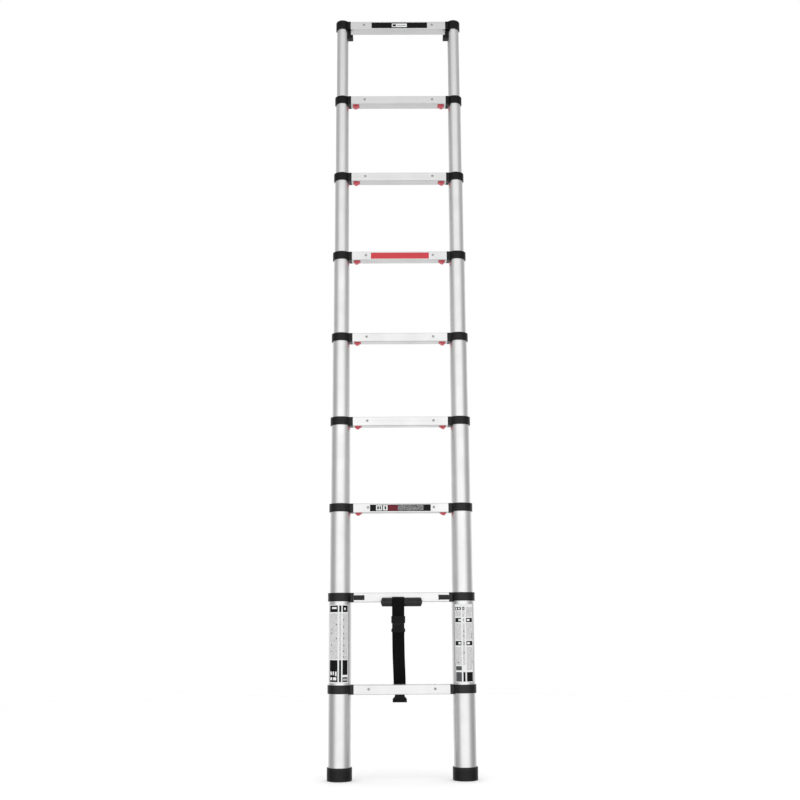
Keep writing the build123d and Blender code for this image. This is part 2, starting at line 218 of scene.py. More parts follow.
def round_edges(piece, width):
    rounding = piece.modifiers.new("rounded_edges", "BEVEL")
    rounding.width = width
    rounding.segments = BEVEL_SEGMENTS
    rounding.limit_method = "ANGLE"
    rounding.angle_limit = math.radians(BEVEL_FROM_DEG)
    rounding.miter_outer = "MITER_ARC"
    shading = piece.modifiers.new("even_shading", "WEIGHTED_NORMAL")
    shading.keep_sharp = True


def soften(node, width):
    """Rounds the sharp edges of a CAD node with modifiers. Its mesh stays as it is."""
    piece = frame["nodes"][node]
    joined = piece.modifiers.new("joined", "WELD")
    joined.merge_threshold = SAME_POINT
    flat = piece.modifiers.new("flat_faces", "DECIMATE")
    flat.decimate_type = "DISSOLVE"
    flat.angle_limit = math.radians(SAME_PLANE_DEG)
    round_edges(piece, width)


# ---- Materials ----
class Finish:
    """A Principled material, and the nodes that vary its colour, gloss and surface."""

    def __init__(self, name, colour, **values):
        self.material = bpy.data.materials.new(name)
        self.material.use_nodes = True
        self.nodes = self.material.node_tree.nodes
        self.shader = self.nodes["Principled BSDF"]
        self.set("Base Color", (*colour, 1.0))
        for socket, value in values.items():
            self.set(socket.replace("_", " "), value)

    def set(self, socket, value):
        self.shader.inputs[socket].default_value = value

    def link(self, output, target):
        self.material.node_tree.links.new(output, target)

    def node(self, kind, inputs=(), **settings):
        made = self.nodes.new("ShaderNode" + kind)
        for name, value in settings.items():
            setattr(made, name, value)
        for name, value in dict(inputs).items():
            if isinstance(value, bpy.types.NodeSocket):
                self.link(value, made.inputs[name])
            else:
                made.inputs[name].default_value = value
        return made

    def place(self, scale, source="Object"):
        """Coordinates in metres, stretched by scale."""
        where = self.node("TexCoord").outputs[source]
        return self.node("Mapping", {"Vector": where, "Scale": scale}).outputs[0]

    def noise(self, scale, detail=2.0, roughness=0.5, source="Object"):
        """Noise with so many cells to the metre, the same each way or one number for each."""
        each = scale if isinstance(scale, tuple) else (scale,) * 3
        place = self.place(each, source)
        inputs = {"Vector": place, "Scale": 1.0, "Detail": detail, "Roughness": roughness}
        return self.node("TexNoise", inputs).outputs[0]

    def waves(self, value, pitch):
        """Ridges across a value in metres, from 0 to 1, one every pitch."""
        phase = self.maths("MULTIPLY", value, math.pi / pitch)
        return self.maths("ABSOLUTE", self.maths("SINE", phase))

    def maths(self, operation, a, b=0.0):
        return self.node("Math", {0: a, 1: b}, operation=operation).outputs[0]

    def spread(self, value, low, high, start=0.3, end=0.7):
        """value from start to end, mapped to low to high."""
        inputs = {"Value": value, "From Min": start, "From Max": end}
        inputs |= {"To Min": low, "To Max": high}
        return self.node("MapRange", inputs).outputs[0]

    def blend(self, share, one, two):
        inputs = {"Factor": share, 6: (*one, 1.0), 7: (*two, 1.0)}
        return self.node("Mix", inputs, data_type="RGBA").outputs[2]

    def colour(self, share, one, two):
        self.link(self.blend(share, one, two), self.shader.inputs["Base Color"])

    def gloss(self, output):
        self.link(output, self.shader.inputs["Roughness"])

    def bump(self, height, distance, strength=1.0):
        made = self.node("Bump", {"Height": height, "Distance": distance, "Strength": strength})
        self.link(made.outputs[0], self.shader.inputs["Normal"])


def grey(level):
    return (level,) * 3


def drawn_aluminium(name, along, shade):
    """Satin anodised metal with fine lines along one axis, 0 for X or 2 for Z."""
    light = tuple(c * shade for c in (0.905, 0.905, 0.905))
    dark = tuple(c * shade for c in (0.835, 0.835, 0.84))
    made = Finish(name, light, Metallic=1.0)
    fine, broad = [1500.0] * 3, [90.0] * 3
    fine[along], broad[along] = 9.0, 1.5
    lines = made.noise(tuple(fine), 3.0, 0.6)
    bands = made.noise(tuple(broad))
    clouds = made.noise(14.0, 4.0)
    share = made.maths("MULTIPLY", bands, clouds)
    made.colour(made.spread(share, 0.0, 1.0, 0.12, 0.4), light, dark)
    made.gloss(made.spread(made.maths("ADD", lines, clouds), 0.26, 0.37, 0.7, 1.3))
    made.bump(lines, 0.004 * MM, 0.6)
    return made.material


GRAIN_STRENGTH = 0.7


def moulded(name, light, dark, low, high, grain=0.35 * MM, deep=0.02 * MM, specular=0.5):
    """Moulded plastic: a fine grain, with cloudy patches that are duller and paler.
    specular is a level, or one at each end of a run of heights."""
    made = Finish(name, light)
    clouds = made.noise(35.0, 5.0, 0.65)
    made.colour(made.spread(clouds, 0.0, 1.0), dark, light)
    made.gloss(made.spread(clouds, low, high))
    # A specular level that changes with height is a painted highlight, stronger at one end of the
    # run.
    if isinstance(specular, dict):
        height = made.node("SeparateXYZ", {0: made.node("TexCoord").outputs["Object"]}).outputs[2]
        (start, first), (end, last) = specular.items()
        level = made.spread(height, first, last, start, end)
        made.link(level, made.shader.inputs["Specular IOR Level"])
    else:
        made.set("Specular IOR Level", specular)
    made.bump(made.noise(1.0 / grain), deep, GRAIN_STRENGTH)
    return made.material


WEAVE_HALF, RIB_PITCH, YARN_PITCH, WEAVE_DEEP = 4.75 * MM, 1.1 * MM, 0.95 * MM, 0.25 * MM


def woven(name):
    """Black webbing in a herringbone weave, with its yarns about a millimetre apart."""
    made = Finish(name, (0.008, 0.008, 0.009), Specular_IOR_Level=0.1, Sheen_Weight=0.02)
    where = made.node("SeparateXYZ", {0: made.node("TexCoord").outputs["UV"]})
    across, along = where.outputs[0], where.outputs[1]
    slant = made.maths("ADD", made.maths("PINGPONG", across, WEAVE_HALF), along)
    ribs, ends = made.waves(slant, RIB_PITCH), made.waves(across, YARN_PITCH)
    yarns = made.maths("ADD", made.maths("MULTIPLY", ends, 0.5), 0.5)
    height = made.maths("MULTIPLY", ribs, yarns)
    fuzz = made.noise(2600.0, 3.0)
    # Painted shade: the weave is coloured darker in its hollows than on its ribs.
    made.colour(height, grey(0.0015), (0.0075, 0.0075, 0.008))
    made.gloss(made.spread(fuzz, 0.6, 0.85))
    made.bump(made.maths("ADD", height, made.maths("MULTIPLY", fuzz, 0.25)), WEAVE_DEEP)
    return made.material


def turned_steel(name):
    made = Finish(name, (0.4, 0.4, 0.39), Metallic=1.0)
    rings = made.noise((2500.0, 60.0, 60.0))
    tarnish = made.noise(220.0, 4.0)
    made.colour(made.spread(tarnish, 0.0, 1.0), (0.36, 0.35, 0.33), grey(0.52))
    made.gloss(made.spread(rings, 0.22, 0.42))
    made.bump(rings, 0.01 * MM)
    return made.material


COAT_ROUGH = 0.15


def ink(name, colour):
    """Print under a clear film."""
    coat = {"Coat_Weight": 0.02, "Coat_Roughness": COAT_ROUGH}
    made = Finish(name, colour, Specular_IOR_Level=0.15, **coat)
    mottle = made.noise(900.0)
    faded = tuple(c * 1.12 + 0.001 for c in colour)
    made.colour(made.spread(mottle, 0.0, 1.0), colour, faded)
    made.gloss(made.spread(mottle, 0.2975, 0.42))
    return made.material


LETTER_WIDE, LETTER_ROW, LETTER_GAP = 4.6 * MM, 1.9 * MM, 0.45 * MM


def fine_print(name, paper, letters):
    """Rows of short grey bars, too small to be words."""
    coat = {"Coat_Weight": 0.1, "Coat_Roughness": COAT_ROUGH}
    made = Finish(name, paper, Roughness=0.35, Specular_IOR_Level=0.25, **coat)
    inputs = {
        "Vector": made.place((1.0, 1.0, 1.0), "UV"),
        "Color1": (*grey(0.0), 1.0),
        "Color2": (*grey(0.5), 1.0),
        "Mortar": (*grey(1.0), 1.0),
        "Scale": 1.0,
        "Mortar Size": LETTER_GAP,
        "Mortar Smooth": 0.1,
        "Brick Width": LETTER_WIDE,
        "Row Height": LETTER_ROW,
    }
    bricks = made.node("TexBrick", inputs, offset=0.37, squash=0.7, squash_frequency=3)
    gaps = made.noise((260.0, 520.0, 1.0), 0.0, source="UV")
    bare = made.maths("GREATER_THAN", gaps, 0.56)
    made.colour(made.maths("MAXIMUM", bricks.outputs[0], bare), letters, paper)
    return made.material


def make_finishes():
    black, deep = (0.003, 0.003, 0.0031), (0.002, 0.002, 0.0021)
    grip, grip_deep = (0.010, 0.010, 0.0104), (0.006, 0.006, 0.0064)
    red, red_deep = (0.70, 0.085, 0.115), (0.58, 0.07, 0.095)
    nylon, nylon_deep = (0.78, 0.76, 0.70), (0.68, 0.66, 0.60)
    rubber = (grey(0.006), grey(0.0035), 0.36, 0.5, 0.6 * MM, 0.03 * MM, 0.4)
    # Painted highlight: the black nylon's specular level rises towards the ground, so the
    # collars' highlights grow stronger lower down, standing in for how the studio lights them.
    highlight_by_height = {0.3: 0.5, 2.4: 0.26}
    return {
        "tube": drawn_aluminium("anodised_tube", 2, 1.03),
        "rung": drawn_aluminium("anodised_rung", 0, 0.99),
        "rivet": turned_steel("rivet_steel"),
        "steel": turned_steel("pin_steel"),
        "black": moulded("black_nylon", black, deep, 0.27, 0.4, MM / 2.9, 0.012 * MM, highlight_by_height),
        "buckle": moulded("black_acetal", black, deep, 0.3, 0.42, 0.2 * MM, 0.012 * MM, 0.18),
        "rubber": moulded("foot_rubber", *rubber),
        "grip": moulded("handle_grip", grip, grip_deep, 0.28, 0.42, 0.4 * MM),
        "red": moulded("red_nylon", red, red_deep, 0.36, 0.52, 0.3 * MM),
        "bush": moulded("natural_nylon", nylon, nylon_deep, 0.35, 0.5),
        "webbing": woven("black_webbing"),
        "film": ink("label_film", (0.86, 0.87, 0.87)),
        "ink_black": ink("black_ink", (0.004, 0.004, 0.0045)),
        "ink_grey": ink("grey_ink", (0.09, 0.09, 0.095)),
        "ink_red": ink("red_ink", (0.66, 0.07, 0.085)),
        "ink_dark_red": ink("dark_red_ink", (0.15, 0.022, 0.032)),
        "print": fine_print("fine_print", (0.82, 0.81, 0.815), (0.22, 0.20, 0.21)),
        "print_dark": fine_print("fine_print_dark", (0.07, 0.07, 0.073), (0.75, 0.75, 0.76)),
    }


NODE_FINISH = {
    "stile_tubes": "tube",
    "rung": "rung",
    "lock_pin": "steel",
    "triggers": "red",
    "guide_bushes": "bush",
    "feet": "rubber",
}
NODE_EDGE_MM = {"collars": 0.5, "top_caps": 0.6, "lower_collars": 0.5, "triggers": 0.6}


def kind_of(node, kinds):
    """What kinds gives for the first of its names that the node's name starts with."""
    return next((kinds[k] for k in kinds if node.startswith(k)), None)


def dress_cad_nodes():
    for node, piece in frame["nodes"].items():
        finish = finishes[kind_of(node, NODE_FINISH) or "black"]
        for slot in piece.material_slots:
            slot.material = finish
        edge = kind_of(node, NODE_EDGE_MM)
        if edge:
            soften(node, edge * MM)


# ---- Strap, buckle and carry handle ----
# The CAD webbing's route, with a point near each corner whose other run is short.
WEBBING_ROUTE = [
    (-0.0110, -0.0528, 0.5045),
    (-0.0110, -0.0528, 0.5466),
    (-0.0110, -0.0528, 0.5594),
    (-0.0110, -0.0437, 0.5685),
    (-0.0110, -0.0309, 0.5685),
    (-0.0110, -0.0218, 0.5594),
    (-0.0110, -0.0218, 0.5430),
    (-0.0110, -0.0186, 0.5269),
    (-0.0106, 0.0060, 0.4040),
    (-0.0081, 0.0209, 0.3332),
    (-0.0070, 0.0270, 0.3040),
    (-0.0070, 0.0270, 0.2750),
]
WEB_WIDTH, WEB_THICK = 39.5 * MM, 2 * MM
ROUTE_STEPS = 24


def smooth_line(name, route):
    """Points on the NURBS line whose control points are the route."""
    curve = bpy.data.curves.new(name, "CURVE")
    curve.dimensions = "3D"
    spline = curve.splines.new("NURBS")
    spline.points.add(len(route) - 1)
    for point, at in zip(spline.points, route):
        point.co = (*at, 1.0)
    spline.order_u = 3
    spline.use_endpoint_u = True
    spline.resolution_u = ROUTE_STEPS
    holder = bpy.data.objects.new(name, curve)
    mesh = bpy.data.meshes.new_from_object(holder)
    line = [v.co.copy() for v in mesh.vertices]
    bpy.data.objects.remove(holder)
    bpy.data.meshes.remove(mesh)
    return line


def make_webbing():
    line = smooth_line("webbing_line", WEBBING_ROUTE)
    half, thin = WEB_WIDTH / 2, WEB_THICK / 2
    flat, curl = half - 0.9 * MM, half - 0.25 * MM
    side = [(flat, -thin), (curl, -0.6 * thin), (half, 0), (curl, 0.6 * thin)]
    top = [(flat, thin), (half * 0.5, thin), (0, thin), (-half * 0.5, thin)]
    section = side + top + [(-a, -b) for a, b in side] + [(-a, -b) for a, b in top]
    shape = Shape()
    shape.sweep(line, section)
    return shape.make("webbing", "base", [finishes["webbing"]], "webbing"), line


def mirrored(x, right):
    """A closed outline from the (across, up) points of its right half, lowest first."""
    return [(x + a, z) for a, z in right] + [(x - a, z) for a, z in right[::-1]]


SOCKET_HEAD = 22 * MM
SLEEVE_BACK, SLEEVE_IN = 1.6 * MM, 2.8 * MM       # from the head's faces and sides
LEDGE_OUT, LEDGE_END, LEDGE_SUNK = 2.6 * MM, 4.4 * MM, 0.1 * MM
GUIDES_ACROSS, GUIDE_HALF = (-7.5 * MM, 0.0, 7.5 * MM), 1.1 * MM
GUIDE_LOW, GUIDE_HIGH = 4 * MM, 6 * MM            # bare sleeve below and above the guides
RIB_HALF, RIB_IN, RIB_OUT, RIB_SUNK = 0.9 * MM, 3 * MM, 0.5 * MM, 0.6 * MM
HEAD_RIBS_UP = (5.5 * MM, 11 * MM, 16.5 * MM)


def make_buckle_socket():
    """Female half: a ribbed head, and below it a ledge and a flared sleeve with guides down each
    face. The ledge takes the paler, glossier grip finish as a painted highlight."""
    low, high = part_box("buckle_socket")
    (x, y, _), half = (low + high) / 2, (high - low) / 2
    sleeve, head, inner = half.y - SLEEVE_BACK, high.z - SOCKET_HEAD, half.x - SLEEVE_IN
    right = [
        (half.x - 2 * MM, low.z),
        (half.x, low.z + 3 * MM),
        (half.x, low.z + 9 * MM),
        (inner, low.z + 14 * MM),
        (inner, head + 1 * MM),
    ]
    shape = Shape()
    shape.prism(mirrored(x, right), y - sleeve, y + sleeve)
    shape.box((x - half.x, y - half.y, head), (x + half.x, y + half.y, high.z))
    sunk, side = -sleeve + LEDGE_SUNK, inner - 1 * MM
    ledge = [(sunk, head), (-half.y, head - LEDGE_OUT), (sunk, head - LEDGE_END)]
    faces = [[0, 1, 2], [5, 4, 3], [0, 3, 4, 1], [1, 4, 5, 2], [2, 5, 3, 0]]
    for way in (1, -1):
        points = [(x + a, y + way * out, z) for a in (-side, side) for out, z in ledge]
        shape.add(points, [face[::way] for face in faces], 1)
    for across in GUIDES_ACROSS:
        shape.box(
            (x + across - GUIDE_HALF, y - half.y + RIB_SUNK, low.z + GUIDE_LOW),
            (x + across + GUIDE_HALF, y + half.y - RIB_SUNK, head - GUIDE_HIGH),
        )
    for up in HEAD_RIBS_UP:
        z = head + up
        shape.box(
            (x - half.x + RIB_IN, y - half.y - RIB_OUT, z - RIB_HALF),
            (x + half.x - RIB_IN, y - half.y + RIB_SUNK, z + RIB_HALF),
        )
    # The ledges' faces, material 1, take the paler, glossier grip finish: a painted highlight on
    # top of the light their slope really catches.
    shell_and_ledge_highlight = [finishes["buckle"], finishes["grip"]]
    piece = shape.make("buckle_socket_shell", "base", shell_and_ledge_highlight, "black_plastic", bevel=0.4 * MM)
    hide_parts("buckle_socket")


PLUG_NECK, PLUG_BAR_HALF, PLUG_BAR = 15.8 * MM, 22.8 * MM, 9 * MM
PLUG_FACE = 1 * MM                # how far the base's ribs stand out
PLUG_RIBS_UP, PLUG_RIB_IN = (3 * MM, 6.5 * MM, 10 * MM), 4 * MM


def make_buckle_plug():
    """Male half: a bar that holds the webbing, a neck, shoulders and a ribbed base."""
    low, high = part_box("buckle_plug")
    x, half, bar = (low.x + high.x) / 2, (high - low) / 2, high.z - PLUG_BAR
    right = [
        (half.x, low.z),
        (half.x, low.z + 11 * MM),
        (PLUG_NECK + 1.2 * MM, low.z + 17.5 * MM),
        (PLUG_NECK, low.z + 19.5 * MM),
        (PLUG_NECK, bar - 0.5 * MM),
        (PLUG_NECK + 1 * MM, bar),
        (PLUG_BAR_HALF, bar),
        (PLUG_BAR_HALF, high.z - 1 * MM),
        (PLUG_BAR_HALF - 1 * MM, high.z),
    ]
    shape = Shape()
    shape.prism(mirrored(x, right), low.y + PLUG_FACE, high.y - PLUG_FACE)
    side = half.x - PLUG_RIB_IN
    for up in PLUG_RIBS_UP:
        z = low.z + up
        shape.box((x - side, low.y, z - RIB_HALF), (x + side, high.y, z + RIB_HALF))
    finish = [finishes["buckle"]]
    piece = shape.make("buckle_plug_shell", "base", finish, "black_plastic", bevel=0.6 * MM)
    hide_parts("buckle_plug")
    return piece


def make_strap():
    webbing, line = make_webbing()
    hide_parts("strap_webbing")
    plug = make_buckle_plug()
    make_buckle_socket()
    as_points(line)


GRIP_HOLLOW, GRIP_WAIST = 3 * MM, 0.5 * MM
ROUND_TURNS = 96


def make_handle():
    """Round grip bar with chamfered ends, a shallow waist line near each and hollow ends."""
    low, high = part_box("carry_handle")
    middle, half = (low + high) / 2, (high - low) / 2
    radius, tip = half.z, half.x
    waist = radius - GRIP_WAIST
    end = [
        (1.5 * MM, tip - GRIP_HOLLOW),
        (4.0 * MM, tip - GRIP_HOLLOW),
        (4.4 * MM, tip - 0.3 * MM),
        (5.0 * MM, tip),
        (radius - 1.4 * MM, tip - 3.4 * MM),
        (radius - 0.4 * MM, tip - 4.3 * MM),
        (radius, tip - 5.6 * MM),
        (radius, tip - 12.0 * MM),
        (waist, tip - 12.4 * MM),
        (waist, tip - 13.4 * MM),
        (radius, tip - 13.8 * MM),
    ]
    rings = [(r, -x) for r, x in end] + [(r, x) for r, x in end[::-1]]
    shape = Shape()
    place = Matrix.Translation(middle) @ Matrix.Rotation(math.pi / 2, 4, "Y")
    shape.revolve(rings, place, ROUND_TURNS)
    finish = [finishes["grip"]]
    piece = shape.make("carry_handle_grip", "base", finish, "black_plastic", edge=28.0)
    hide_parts("carry_handle")


# ---- Feet ----
SOLE_CUT, SOLE_RINGS = 1.5 * MM, (9 * MM, 14 * MM, 17 * MM, 22 * MM, 25 * MM)
GROOVES, GROOVES_UP, GROOVE_PITCH, GROOVE_DEEP = 5, 8 * MM, 5.2 * MM, 0.7 * MM
TUBE_END, NEAR_AXIS = 6 * MM, 0.5 * MM


def make_feet():
    """Rubber cups with grip grooves round them and rings cut in the sole."""
    low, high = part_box("feet")
    radius, top = high.x - STILE_X, high.z
    seat = tube_r(BASE_RUNG) + 0.1 * MM
    rings, height = [(NEAR_AXIS, SOLE_CUT)], SOLE_CUT
    for edge in SOLE_RINGS:
        rings += [(edge, height), (edge, SOLE_CUT - height)]
        height = SOLE_CUT - height
    rings += [
        (radius - 3 * MM, 0.0),
        (radius - 1.5 * MM, 0.4 * MM),
        (radius - 0.4 * MM, 1.5 * MM),
        (radius, 3 * MM),
    ]
    for n in range(GROOVES):
        up = GROOVES_UP + GROOVE_PITCH * n
        rings += [
            (radius, up),
            (radius - GROOVE_DEEP, up + 0.5 * MM),
            (radius - GROOVE_DEEP, up + 1.3 * MM),
            (radius, up + 1.8 * MM),
        ]
    rings += [
        (radius, top - 1.4 * MM),
        (radius - 0.4 * MM, top - 0.4 * MM),
        (radius - 1.2 * MM, top),
        (seat + 0.4 * MM, top),
        (seat, top - 0.5 * MM),
        (seat, TUBE_END),
        (NEAR_AXIS, TUBE_END),
    ]
    shape = Shape()
    for at in foot_places:
        shape.revolve(rings, Matrix.Translation((at.x, at.y, low.z)), ROUND_TURNS)
    piece = shape.make("rubber_feet", "base", [finishes["rubber"]], "foot_rubber")
    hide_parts("feet")


# ---- Fasteners and springs ----
RIVET_IN, RIVET_UP = 48 * MM, 2 * MM
HEAD_R, HEAD_HIGH, HEAD_RIM, HEAD_STEPS = 4.2 * MM, 1.3 * MM, 0.25 * MM, 5
SHANK_R, SHANK_DEEP = 2.3 * MM, 11 * MM
MANDREL_R, MANDREL_DEEP, MANDREL_END = 1.3 * MM, 0.8 * MM, 0.2 * MM
RIVET_AXIS, RIVET_TURNS = 0.1 * MM, 32
STRAP_RIVET_APART, STRAP_RIVET_UP = 10 * MM, 5 * MM
STRAP_SHANK, STRAP_HEAD = 1.5 * MM, 0.9 * MM
LOOP_END = WEBBING_ROUTE[5]       # where the webbing starts to fall in front of rung 8
FACING_FRONT = Matrix.Rotation(math.pi / 2, 4, "X")


def rivet(shape, x, y, z, shank=SHANK_DEEP, head=HEAD_HIGH):
    """Blind rivet: a domed head facing the front, with the end of its mandrel sunk in it."""
    rings = [(RIVET_AXIS, -shank), (SHANK_R, -shank), (SHANK_R, 0.0), (HEAD_R, 0.0)]
    for n in range(HEAD_STEPS):
        angle = math.pi / 2 * n / HEAD_STEPS
        across = MANDREL_R + (HEAD_R - MANDREL_R) * math.cos(angle)
        rings.append((across, HEAD_RIM + (head - HEAD_RIM) * math.sin(angle)))
    sunk = head - MANDREL_DEEP
    rings += [(MANDREL_R, head), (MANDREL_R, sunk), (RIVET_AXIS, sunk + MANDREL_END)]
    shape.revolve(rings, Matrix.Translation((x, y, z)) @ FACING_FRONT, RIVET_TURNS)


def make_rivets():
    finish = [finishes["rivet"]]
    for k in [*SECTIONS, LOWEST_RUNG]:
        shape = Shape()
        for way in SIDES.values():
            rivet(shape, way * (rung_end(k) - RIVET_IN), rung_front(k), rung_z(k) + RIVET_UP)
        shape.make(f"rivets_rung_{k}", body_of_rung(k), finish, "pin_steel", edge=40.0)
    shape = Shape()
    web_x, web_y = LOOP_END[0], LOOP_END[1] - WEB_THICK / 2
    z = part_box(f"rung_{BASE_RUNG}")[0].z + STRAP_RIVET_UP
    for way in SIDES.values():
        rivet(shape, web_x + way * STRAP_RIVET_APART, web_y, z, STRAP_SHANK, STRAP_HEAD)
    shape.make("strap_rivets", "base", finish, "pin_steel", edge=40.0)


PIN_BORE_DEEP = 45 * MM
SPRING_R, WIRE_R, SPRING_TURNS, TURN_STEPS, WIRE_SIDES = 3.2 * MM, 0.4 * MM, 5, 16, 8


def make_springs():
    """A coil behind each lock pin, from its seat in the rung to the pin's end."""
    corners = [round_at(WIRE_R, math.tau * n / WIRE_SIDES) for n in range(WIRE_SIDES)]
    wire = [(corner.x, corner.y) for corner in corners]
    steps = SPRING_TURNS * TURN_STEPS
    for k in range(2, BASE_RUNG + 1):
        for side, way in SIDES.items():
            low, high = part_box(f"lock_pin_{k}_{side}")
            seat, z = way * (rung_end(k) - PIN_BORE_DEEP), (low.z + high.z) / 2
            pin_end = low.x if way > 0 else high.x
            whole = abs(pin_end - seat)
            length = whole - 2 * WIRE_R
            line = []
            for n in range(steps + 1):
                turn = round_at(SPRING_R, math.tau * n / TURN_STEPS)
                x = seat + way * (WIRE_R + length * n / steps)
                line.append(Vector((x, turn.x, z + turn.y)))
            shape = Shape()
            shape.sweep(line, wire)
            name, finish = f"pin_spring_{k}_{side}", [finishes["steel"]]
            piece = shape.make(name, body_of_rung(k), finish, "pin_steel")
            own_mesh(piece)


# ---- Labels and stickers ----
FILM, FILM_UP = 0.25 * MM, 0.02 * MM
LABEL_STEP, STICKER_STEP = 12 * MM, 3 * MM


def printed(name, body, place, size, prints, inks, step):
    """A thin film with a printed front. place(u, v, out) gives its points, prints are
    (u0, v0, u1, v1, ink) in metres from its lower left corner, later ones on top, and
    step is the widest that a face may be."""
    wide, tall = size
    cuts = []
    for across, whole in ((0, wide), (1, tall)):
        lines = {0.0, whole} | {round(p[n], 6) for p in prints for n in (across, across + 2)}
        lines = sorted(m for m in lines if 0 <= m <= whole)
        filled = [lines[0]]
        for one, two in zip(lines, lines[1:]):
            parts = max(1, math.ceil((two - one) / step))
            filled += [one + (two - one) * n / parts for n in range(1, parts + 1)]
        cuts.append(filled)
    us, vs = cuts
    shape, rows, count = Shape(), len(vs), len(us)
    points = [place(u, v, out) for out in (FILM, 0.0) for v in vs for u in us]
    names = ["film"] + [n for n in inks if n != "film"]
    faces, marks = [], []
    for j in range(rows - 1):
        for i in range(count - 1):
            u, v = (us[i] + us[i + 1]) / 2, (vs[j] + vs[j + 1]) / 2
            on = [p[4] for p in prints if p[0] < u < p[2] and p[1] < v < p[3]]
            marks.append(names.index(on[-1]) if on else 0)
            a = j * count + i
            faces.append([a, a + 1, a + 1 + count, a + count])
            (u0, u1), (v0, v1) = us[i : i + 2], vs[j : j + 2]
            shape.uvs[len(faces) - 1] = [(u0, v0), (u1, v0), (u1, v1), (u0, v1)]
    back = rows * count
    for face in list(faces):
        faces.append([back + n for n in face[::-1]])
        marks.append(0)
    edge = list(range(count))
    edge += [j * count + count - 1 for j in range(1, rows)]
    edge += [(rows - 1) * count + i for i in range(count - 2, -1, -1)]
    edge += [j * count for j in range(rows - 2, 0, -1)]
    for a, b in zip(edge, edge[1:] + edge[:1]):
        faces.append([a, back + a, back + b, b])
        marks.append(0)
    shape.add(points, faces)
    shape.marks = marks
    return shape.make(name, body, [finishes[n] for n in names], edge=50.0)


def on_rung(k, size, aside):
    """Places a film on rung k's front face, its middle so far aside of the rung's."""
    wide, tall = size
    y, z = rung_front(k), rung_z(k)

    def place(u, v, out):
        return Vector((u - wide / 2 + aside, y - out, z + v - tall / 2))

    return place


def on_tube(side, size, turn, low):
    """Wraps a film round a base tube, its middle turned by so many degrees from the front."""
    radius = tube_r(BASE_RUNG) + FILM_UP
    middle, axis = math.radians(turn), Vector((SIDES[side] * STILE_X, 0, low))

    def place(u, v, out):
        angle = middle + (u - size[0] / 2) / radius
        return axis + round_at(radius + out, angle - math.pi / 2, v)

    return place


def in_metres(prints):
    return [(u0 * MM, v0 * MM, u1 * MM, v1 * MM, name) for u0, v0, u1, v1, name in prints]


# The labels' size, and for each its rung, how far aside it sits, its inks and its prints,
# all in millimetres.
LABEL_WIDE, LABEL_TALL = 200, 22
LABELS = {
    "top_rung_label": (
        1,
        4.9,
        ["ink_black"],
        [
            (0, 0, LABEL_WIDE, LABEL_TALL, "ink_black"),
            (73, 4, 127, 18, "film"),
            (76, 7, 88, 15, "ink_black"),
            (92, 10, 124, 12, "ink_black"),
        ],
    ),
    "red_rung_label": (4, 1.9, ["ink_red"], [(0, 0, LABEL_WIDE, LABEL_TALL, "ink_red")]),
    "guide_rung_label": (
        7,
        -1.7,
        ["ink_black", "ink_dark_red", "print_dark"],
        [
            (0, 0, LABEL_WIDE, LABEL_TALL, "ink_black"),
            (20, 2.5, 40, 20, "film"),
            (24, 6, 29, 16.5, "ink_black"),
            (32, 6, 36, 16.5, "ink_black"),
            (43, 2.5, 58, 20, "film"),
            (48, 6, 53, 16.5, "ink_black"),
            (60, 1.5, 92, 20.5, "ink_dark_red"),
            (92, 2, 176, 20, "print_dark"),
        ],
    ),
}


def make_rung_labels():
    size = (LABEL_WIDE * MM, LABEL_TALL * MM)
    for name, (k, aside, inks, prints) in LABELS.items():
        place = on_rung(k, size, aside * MM)
        printed(name, body_of_rung(k), place, size, in_metres(prints), inks, LABEL_STEP)


